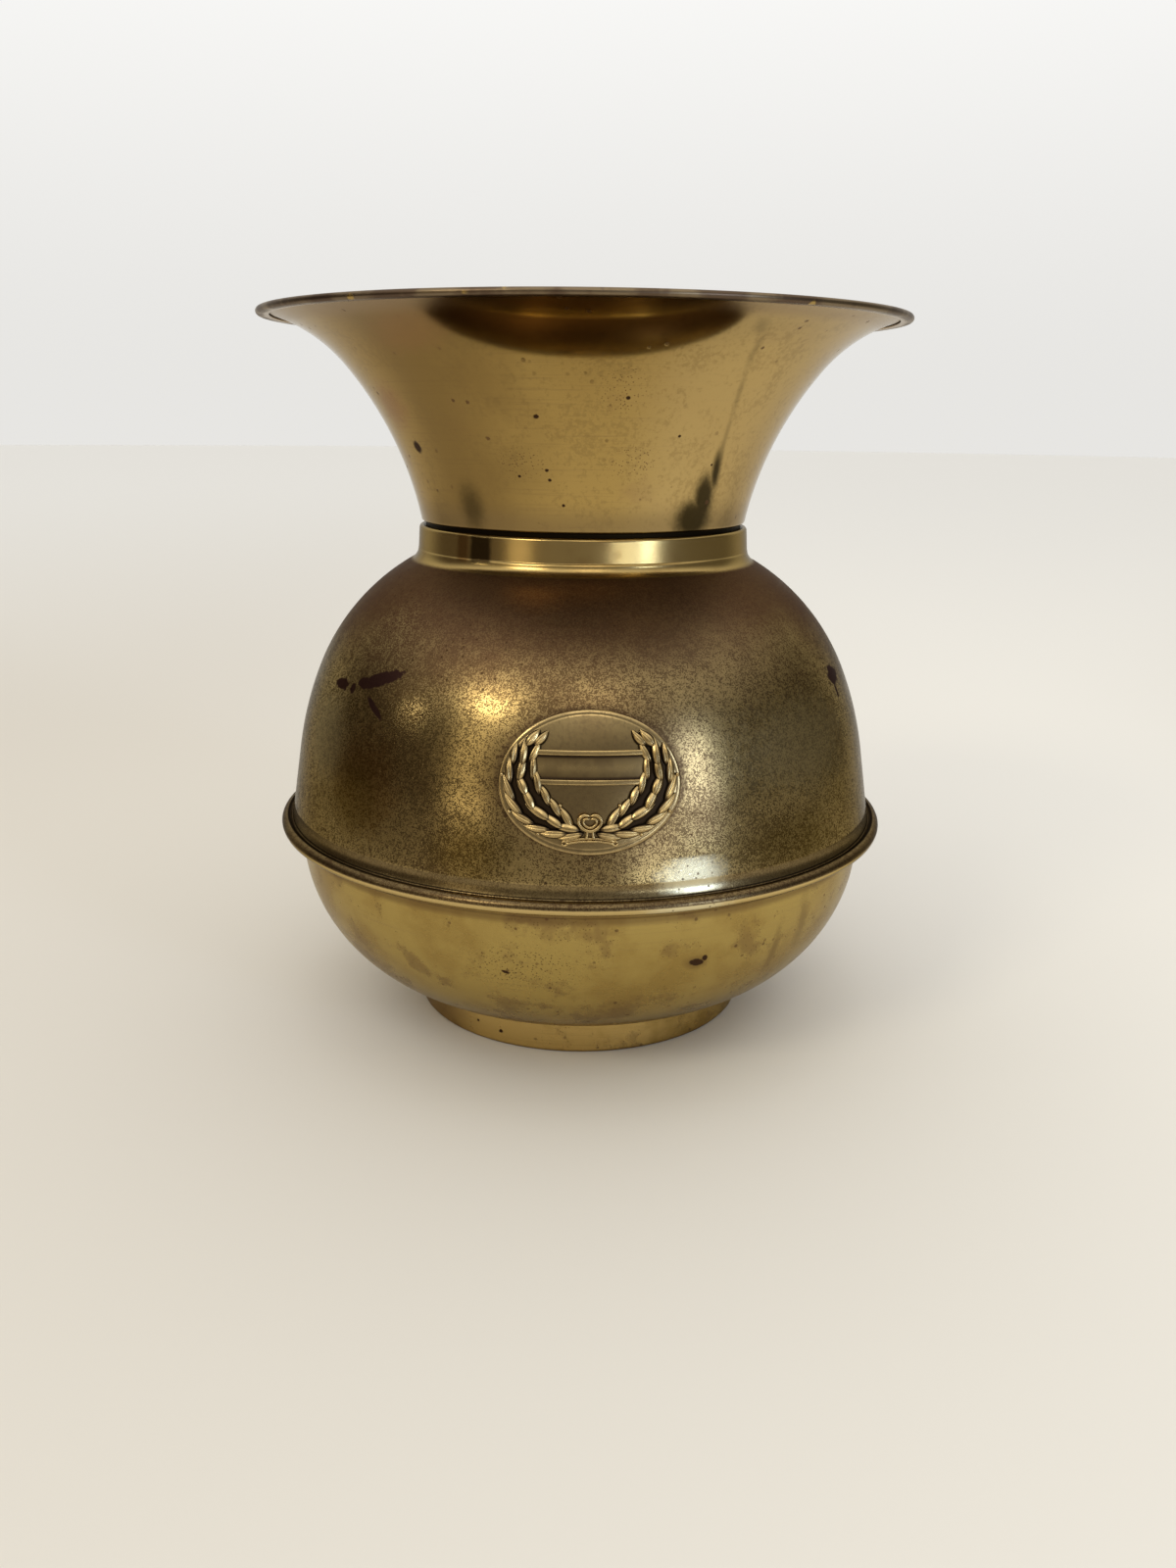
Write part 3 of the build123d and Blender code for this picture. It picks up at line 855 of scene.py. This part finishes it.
# Grain of the patina: where it is worn, and where bright metal comes through
mottle = skin.add(skin.multiply(small, 0.22), skin.add(skin.multiply(grain, 0.36), skin.multiply(grit, 0.42)))
mottle = skin.add(mottle, skin.multiply(skin.add(cloud, -0.5), 0.22))
worn = skin.smooth(mottle, 0.478, 0.532)
lit = skin.smooth(mottle, 0.500, 0.470)
dome = skin.smooth(skin.z, collar_start, dome_end)
skin.layer(dome, (0.45, 0.325, 0.135), 0.20)
skin.layer_in(dome, worn, (0.105, 0.070, 0.029), 0.28, 0.78)
fine_specks = skin.multiply(dome, skin.spots(1300.0, 0.24))
skin.layer(fine_specks, (0.06, 0.036, 0.016), 0.45, 0.6)
skin.layer_in(dome, skin.smooth(cloud, 0.48, 0.66), (0.22, 0.14, 0.055), 0.24, 0.5)
# Painted reflection: the lower dome darker on both sides, for the dark room it reflects
sides = skin.marks(
    (-47.0, 90.0, 106.5, 30.0, 20.0, 0.55, 0.35),
    (52.0, 92.0, 106.0, 24.0, 22.0, 0.6, 0.35),
)
skin.layer_in(dome, sides, (0.125, 0.085, 0.030), 0.22, 0.55)
amber = skin.mark(-44.0, 104.0, 104.0, 14.0, 14.0, 0.6, 0.5)
skin.layer_in(dome, amber, (0.20, 0.085, 0.014), 0.20, 0.6)
sandy = skin.marks(
    (-50.0, 144.0, 90.0, 13.0, 13.0, 0.7, 0.5),
    (49.0, 138.0, 92.5, 11.0, 14.0, 0.7, 0.5),
)
skin.layer_in(dome, top, (0.113, 0.060, 0.033), 0.52, 0.94)
skin.layer(skin.multiply(skin.multiply(sandy, lit), dome), (0.34, 0.25, 0.11), 0.30, 0.65)
streaks = skin.multiply(dome, skin.smooth(broad, 0.52, 0.76))
skin.layer(streaks, (0.15, 0.092, 0.040), 0.26, 0.35)
specks = skin.multiply(dome, skin.multiply(skin.spots(380.0, 0.18), skin.smooth(cloud, 0.38, 0.6)))
skin.layer(specks, dark_brown, 0.5, 0.8)
low_edge = skin.multiply(dome, skin.band(74.0, 92.0, 8.0))
skin.layer_in(low_edge, skin.spots(260.0, 0.17), dark_brown, 0.5, 0.9)
# Painted shadow: a thin dark line on the dome round the edge of the badge plate
plate_contact_shadow = skin.mark(0.0, 112.2, 102.6, 29.6, 22.5, 0.03, 0.04)
skin.layer_in(dome, plate_contact_shadow, (0.035, 0.020, 0.012), 0.45, 0.85)
# Painted shade: a dimmer patch on the dome to the right of the crown
dim_patch_shade = skin.mark(23.0, 141.0, 91.0, 24.0, 15.0, 0.75, 0.4)
skin.layer_in(dome, dim_patch_shade, (0.13, 0.088, 0.048), 0.36, 0.55)
halo = skin.marks(
    (2.5, 111.5, 102.6, 36.0, 28.0, 0.22, 0.18),
    (19.0, 108.0, 102.6, 9.0, 17.0, 0.5, 0.3, 12.0),
)
skin.layer_in(dome, halo, (0.15, 0.085, 0.042), 0.33, 0.5)
crown = skin.mark(6.0, 158.0, 79.0, 30.0, 17.0, 0.6, 0.4)
skin.layer_in(dome, crown, (0.052, 0.028, 0.014), None, 0.55)
pale = skin.marks(
    (44.0, 117.0, 101.0, 24.0, 13.0, 0.6, 0.5),
    (-59.0, 114.0, 102.0, 12.0, 12.0, 0.6, 0.5),
)
skin.layer_in(dome, pale, (0.40, 0.32, 0.17), 0.40, 0.65)
# Painted reflection: warm dark patches on the lower dome, for the brown surroundings it reflects
warm_dark_reflection = skin.marks(
    (-20.0, 88.0, 106.7, 13.0, 9.0, 0.6, 0.5),
    (-46.0, 97.0, 105.5, 12.0, 11.0, 0.6, 0.5),
    (38.0, 86.0, 107.4, 20.0, 10.0, 0.6, 0.5),
)
skin.layer_in(dome, warm_dark_reflection, (0.090, 0.055, 0.007), 0.24, 0.68)
grainy = skin.multiply(dome, skin.smooth(top, 0.2, 1.0, 1.0, 0.25))
skin.layer_in(grainy, worn, (0.045, 0.029, 0.011), 0.30, 0.36)
skin.layer_in(grainy, lit, (0.52, 0.39, 0.16), 0.24, 0.15)
# Cove, bead and the crease between them, with painted highlights on the bead and ledge and painted shade in
# the crease and under the bead
cove = skin.band(76.2, 80.6, 0.5)
skin.layer(cove, (0.175, 0.125, 0.060), 0.28, 0.8)
skin.layer_in(cove, worn, (0.12, 0.08, 0.034), 0.28, 0.45)
bead_zone = skin.smooth(skin.z, 76.9 * MM, 75.9 * MM)
skin.layer(bead_zone, (0.135, 0.093, 0.044), 0.30, 0.88)
skin.layer_in(bead_zone, worn, dark_brown, 0.42, 0.6)
# Painted highlight: a bright strip along the lower side of the bead, which is also smoother
bead_highlight_band = skin.band(71.6, 74.1, 0.3)
skin.layer(bead_highlight_band, (0.66, 0.49, 0.205), 0.14, 0.92)
# Painted highlight: bright patches on the bead and the ledge, for a window they reflect; dark specks of dirt
# lie on them
window_highlight = skin.most(
    skin.multiply(bead_highlight_band, skin.mark(16.0, 72.8, 112.6, 12.0, 5.0, 0.6, 0.3)),
    skin.multiply(skin.band(76.9, 88.0, 0.6), skin.mark(17.5, 81.5, 108.0, 9.5, 6.0, 0.6, 0.35)),
)
skin.layer(window_highlight, (0.84, 0.76, 0.50), 0.24, 0.7)
skin.layer_in(window_highlight, skin.spots(420.0, 0.2), dark_brown, 0.5, 0.7)
# Painted shade: a dark line under the bead
skin.layer(skin.band(69.0, 71.2, 0.25), dark_brown, 0.4, 0.8)
# Painted shade: near black in the crease at the top of the bead
crease = skin.multiply(skin.band(76.2, 76.6, 0.15), skin.smooth(skin.radius, 110.9 * MM, 110.5 * MM))
skin.layer(crease, (0.012, 0.008, 0.004), 0.55, 0.95)
# Purple-black smears, and the collar with two painted reflections: an amber streak and a dark streak
smear = skin.marks(
    (-45.6, 136.0, 93.9, 10.4, 2.2, 0.08, 0.42, 17.0),
    (-49.5, 133.9, 94.8, 4.6, 1.9, 0.10, 0.35, 4.0),
    (-58.4, 131.4, 95.8, 5.0, 1.8, 0.08, 0.8, 8.0),
    (-53.6, 131.2, 96.0, 1.6, 1.7, 0.12, 0.3),
    (-44.9, 127.3, 97.7, 5.4, 1.1, 0.14, 0.35, -31.0),
    (64.5, 133.4, 95.0, 5.2, 3.2, 0.14, 0.5),
    (63.4, 128.4, 97.3, 1.0, 2.3, 0.2, 0.3),
)
skin.layer(smear, purple, 0.42, 0.96)
skin.layer(skin.mark(-48.33, 171.5, 60.0, 0.7, 0.6, 0.3, 0.4), dark_brown, 0.5)
collar_zone = skin.smooth(skin.z, dome_end, collar_start)
skin.layer(collar_zone, (0.46, 0.325, 0.125), 0.235, 0.95)
skin.layer_in(collar_zone, skin.smooth(cloud, 0.5, 0.62), (0.33, 0.205, 0.068), 0.25, 0.6)
collar_wall = skin.band(171.6, 180.4, 0.7)
# Painted reflections on the collar wall: an amber streak and a near-black streak
amber_collar_reflection = skin.multiply(collar_wall, skin.mark(-43.8, 176.0, 59.6, 2.6, 14.0, 0.5, 0.2))
skin.layer(amber_collar_reflection, (0.20, 0.09, 0.02), 0.22, 0.7)
dark_collar_reflection = skin.multiply(collar_wall, skin.mark(-36.3, 176.0, 59.6, 4.3, 15.0, 0.25, 0.15))
skin.layer(dark_collar_reflection, (0.030, 0.016, 0.006), 0.22, 0.86)
skin.raise_by(skin.multiply(skin.lines(5200.0, 0.6), collar_zone), 0.004)
skin.raise_by(skin.most(specks, smear), -0.02)
skin.raise_by(skin.multiply(dome, small), 0.012)
skin.finish(shell, (0.42, 0.42, 0.42))

# Lower bowl and foot ring
for piece, name, offset in ((bowl, "brass_bowl", 0.0), (foot, "brass_foot", 0.4)):
    skin = Skin(name, (0.43, 0.31, 0.095) if piece is bowl else (0.60, 0.42, 0.15), 0.25)
    broad = spun_marks(skin)
    cloud = skin.noise(30.0, 5.0, 0.6, (offset, 0.2, 0.1))
    stain = skin.noise(62.0, 4.0, 0.62, (0.5, offset, 0.3))
    skin.layer(skin.smooth(cloud, 0.44, 0.62), (0.34, 0.228, 0.066), 0.28, 0.85)
    skin.layer(skin.smooth(stain, 0.52, 0.66), (0.22, 0.135, 0.052), 0.33, 0.6)
    skin.layer(skin.smooth(broad, 0.5, 0.8), dull_gold, 0.33, 0.4)
    specks = skin.multiply(skin.spots(210.0, 0.15), skin.smooth(stain, 0.42, 0.6))
    skin.layer(specks, brown, 0.5, 0.75)
    dust = skin.multiply(skin.spots(900.0, 0.22), skin.smooth(stain, 0.5, 0.58))
    skin.layer(dust, dark_brown, 0.5, 0.55)
    if piece is bowl:
        chip = skin.marks(
            (20.0, 50.0, 102.5, 2.6, 1.3, 0.14, 0.45, -8.0),
            (21.6, 51.4, 103.0, 0.9, 1.2, 0.2, 0.4, 30.0),
        )
        dusty = skin.mark(-12.0, 50.0, 102.0, 17.0, 7.5, 0.6, 0.5)
        skin.layer_in(dusty, skin.spots(950.0, 0.27), dark_brown, 0.45, 0.7)
        runs = skin.marks(
            (38.5, 47.0, 101.0, 1.6, 9.0, 0.8, 0.5, 4.0),
            (45.0, 55.0, 104.0, 2.4, 8.0, 0.8, 0.5, 8.0),
        )
        skin.layer(runs, (0.16, 0.095, 0.035), 0.34, 0.5)
        small_marks = skin.mark(-14.9, 47.7, 101.7, 1.3, 0.5, 0.2, 0.5, -20.0)
        skin.layer(skin.mark(20.0, 50.0, 102.5, 4.2, 2.4, 0.5, 0.3, -8.0), brown, 0.4, 0.4)
        skin.layer(skin.most(chip, small_marks), dark_brown, 0.55)
        skin.raise_by(chip, -0.06)
        skin.layer(skin.band(66.5, 80.0, 1.2), brown, 0.4, 0.55)
    else:
        chip = skin.marks(
            (-28.2, 4.9, 62.5, 0.8, 0.65, 0.25, 0.4),
            (-37.4, 6.5, 62.4, 0.5, 0.5, 0.25, 0.4),
        )
        skin.layer(chip, dark_brown, 0.55)
        skin.layer(skin.band(-1.0, 0.9, 0.5), brown, 0.4, 0.6)
        # Painted shade: darker at the top of the foot, under the edge of the bowl
        skin.layer(skin.smooth(skin.z, 10.4 * MM, 12.2 * MM), brown, 0.4, 0.6)
        # Painted shade: the foot darker on its left side, away from the light
        skin.layer(skin.smooth(skin.x, -34 * MM, -52 * MM), (0.25, 0.15, 0.06), 0.34, 0.75)
    skin.finish(piece)


# Badge plate and wreath
def recess_of(skin):
    return add(skin.tree, "ShaderNodeAttribute", attribute_name="recess").outputs["Fac"]


skin = Skin("brass_plate", (0.44, 0.32, 0.145), 0.20)
recess = recess_of(skin)
cloud = skin.noise(90.0, 5.0, 0.6)
small = skin.noise(700.0, 3.0, 0.6)
skin.layer(skin.smooth(cloud, 0.42, 0.64), (0.33, 0.232, 0.105), 0.24, 0.7)
skin.layer(skin.smooth(small, 0.5, 0.62), (0.18, 0.12, 0.06), 0.30, 0.35)
skin.layer(skin.smooth(recess, 0.3, 0.9), dark_brown, 0.42, 0.8)
# Painted shade: the middle of the plate darker, so that its top stays bright like a highlight
plate_middle_shade = skin.mark(2.0, 109.0, 103.5, 25.5, 15.5, 0.22, 0.1)
skin.layer(plate_middle_shade, (0.17, 0.115, 0.055), 0.26, 0.5)
skin.raise_by(small, 0.012)
skin.raise_by(cloud, 0.03)
skin.finish(badge_plate)

skin = Skin("brass_wreath", (0.52, 0.375, 0.165), 0.24)
recess = recess_of(skin)
cloud = skin.noise(160.0, 4.0, 0.6)
small = skin.noise(1200.0, 3.0, 0.6)
skin.layer(skin.smooth(cloud, 0.44, 0.66), (0.27, 0.19, 0.09), 0.32, 0.6)
skin.layer(skin.smooth(recess, 0.12, 0.60), (0.075, 0.046, 0.022), 0.36, 0.92)
skin.layer(skin.smooth(recess, 0.55, 0.92), (0.030, 0.019, 0.011), 0.5, 0.95)
skin.raise_by(small, 0.015)
skin.raise_by(cloud, 0.04)
skin.finish(badge_wreath)


# The room: pale behind and above, dimmer in front and at the sides
left_tone, right_tone, front_tone = (0.110, 0.088, 0.068), (0.165, 0.150, 0.120), (0.27, 0.25, 0.22)
wall_tone, high_wall_tone, ceiling_tone = (0.80, 0.79, 0.765), (1.05, 1.05, 1.04), (1.22, 1.20, 1.15)


def room(tree, way_x, way_y, way_z=None):
    """Tone of the room in a direction; without a height, that of its horizon."""
    tone = mixed(tree, smooth(tree, way_x, -0.5, 0.5), left_tone, right_tone)
    tone = mixed(tree, smooth(tree, way_y, -0.72, -0.94), tone, front_tone)
    behind = smooth(tree, way_y, 0.38, 0.86)
    tone = mixed(tree, behind, tone, wall_tone)
    if way_z is not None:
        tone = mixed(tree, smooth(tree, way_z, 0.36, 0.82), tone, ceiling_tone)
        high_behind = maths(tree, "MULTIPLY", behind, smooth(tree, way_z, 0.0, 0.5))
        tone = mixed(tree, high_behind, tone, high_wall_tone)
    return tone


# Floor: a plain pale disc that fades into the room's tone far from the object. floor_light is the
# light that falls on it far out, so that the tone is divided by it.
floor_light = 0.95
# Painted light and shade: near the object the floor is darker to the left and paler to the right, as the
# light falls
floor_near_left, floor_near_right = (0.70, 0.66, 0.595), (0.86, 0.835, 0.78)
floor_segments = 96
floor_radii = (0.5, 1.0, 2.0, 4.0, 8.0)
points = [(0.0, 0.0, 0.0)]
faces = []
for ring, radius in enumerate(floor_radii):
    for k in range(floor_segments):
        a = 2 * math.pi * k / floor_segments
        points.append((radius * math.cos(a), radius * math.sin(a), 0.0))
    base = 1 + ring * floor_segments
    inner = base - floor_segments
    for k in range(floor_segments):
        after = (k + 1) % floor_segments
        if ring == 0:
            faces.append((0, base + k, base + after))
        else:
            faces.append((inner + k, base + k, base + after, inner + after))
floor_mesh = bpy.data.meshes.new("floor")
floor_mesh.from_pydata(points, [], faces)
floor = bpy.data.objects.new("floor", floor_mesh)
bpy.context.scene.collection.objects.link(floor)
floor_material, tree = node_tree("floor_pale")
position = add(tree, "ShaderNodeTexCoord").outputs["Object"]
x, y, _ = add(tree, "ShaderNodeSeparateXYZ", {0: position}).outputs
reach = add(tree, "ShaderNodeVectorMath", {0: position}, operation="LENGTH").outputs["Value"]
safe = maths(tree, "MAXIMUM", reach, 0.01)
way_x, way_y = maths(tree, "DIVIDE", x, safe), maths(tree, "DIVIDE", y, safe)
far = {0: room(tree, way_x, way_y), "Scale": 1.0 / floor_light}
far = add(tree, "ShaderNodeVectorMath", far, operation="SCALE").outputs[0]
near = mixed(tree, smooth(tree, x, -0.42, 0.42), floor_near_left, floor_near_right)
behind = smooth(tree, way_y, 0.40, 0.80)
log_reach = maths(tree, "LOGARITHM", safe, 10.0)
to_far = maths(tree, "MULTIPLY_ADD", behind, 0.52, 0.10)
fade = smooth(tree, log_reach, -0.36, to_far)
inputs = {"Base Color": mixed(tree, fade, near, far), "Roughness": 0.8, "Specular IOR Level": 0.2}
floor_shader = add(tree, "ShaderNodeBsdfPrincipled", inputs)
add(tree, "ShaderNodeOutputMaterial", {0: floor_shader.outputs[0]})
floor_mesh.materials.append(floor_material)

world = bpy.data.worlds.new("studio")
bpy.context.scene.world = world
world.use_nodes = True
tree = world.node_tree
tree.nodes.clear()
ways = add(tree, "ShaderNodeSeparateXYZ", {0: add(tree, "ShaderNodeTexCoord").outputs["Generated"]}).outputs
background = add(tree, "ShaderNodeBackground", {"Color": room(tree, *ways), "Strength": 1.0})
add(tree, "ShaderNodeOutputWorld", {0: background.outputs[0]})

# Soft lamps, all aimed at one point and as far from it
lamp_aim = Vector((0, 0, 0.12))
lamp_distance = 2.2


def lamp(name, azimuth, elevation, wide, tall, radiance, tint):
    """An area lamp; azimuth is to the right of the front, and its power keeps its radiance."""
    a, e = math.radians(azimuth), math.radians(elevation)
    way = Vector((math.sin(a) * math.cos(e), -math.cos(a) * math.cos(e), math.sin(e)))
    data = bpy.data.lights.new(name, "AREA")
    data.shape = "RECTANGLE"
    data.size, data.size_y = wide, tall
    data.energy = radiance * math.pi * wide * tall
    data.color = tint
    made = bpy.data.objects.new(name, data)
    bpy.context.scene.collection.objects.link(made)
    made.location = lamp_aim + way * lamp_distance
    made.rotation_euler = (-way).to_track_quat("-Z", "Y").to_euler()


lamp("left_lamp", -43.0, 36.0, 0.62, 0.46, 8.3, (1.0, 0.92, 0.72))
lamp("left_wall", -45.0, 17.0, 0.50, 0.85, 0.9, (1.0, 0.88, 0.62))
lamp("left_low", -44.0, 1.0, 0.60, 0.24, 1.5, (1.0, 0.88, 0.62))
lamp("left_spot", -76.0, 22.0, 0.15, 0.15, 10.0, (1.0, 0.95, 0.80))
lamp("right_window", 42.5, 10.5, 0.40, 0.88, 7.0, (0.84, 1.03, 1.40))
lamp("right_low", 26.0, 0.5, 0.66, 0.22, 4.6, (0.90, 1.02, 1.22))
lamp("front_high", 3.0, 43.0, 0.75, 0.55, 1.5, (1.0, 0.93, 0.80))

# Camera at the photograph's angle; its focal length was fitted in pixels of a picture 1600 high
focal_pixels, picture_pixels, sensor = 1310.0, 1600.0, 36.0
camera_data = bpy.data.cameras.new("camera")
camera_data.sensor_width = sensor
camera_data.lens = focal_pixels / picture_pixels * sensor
camera = bpy.data.objects.new("camera", camera_data)
bpy.context.scene.collection.objects.link(camera)
right = Vector((0.9995, -0.029757, 0.01065))
up = Vector((-0.001944, 0.278447, 0.96045))
spot = [-12.864 * MM, -476.307 * MM, 219.901 * MM]
columns = (right, up, right.cross(up), spot)
camera.matrix_world = Matrix([[*(column[row] for column in columns)] for row in range(3)] + [[0, 0, 0, 1]])
bpy.context.scene.camera = camera

bpy.context.scene.view_settings.view_transform = "Standard"
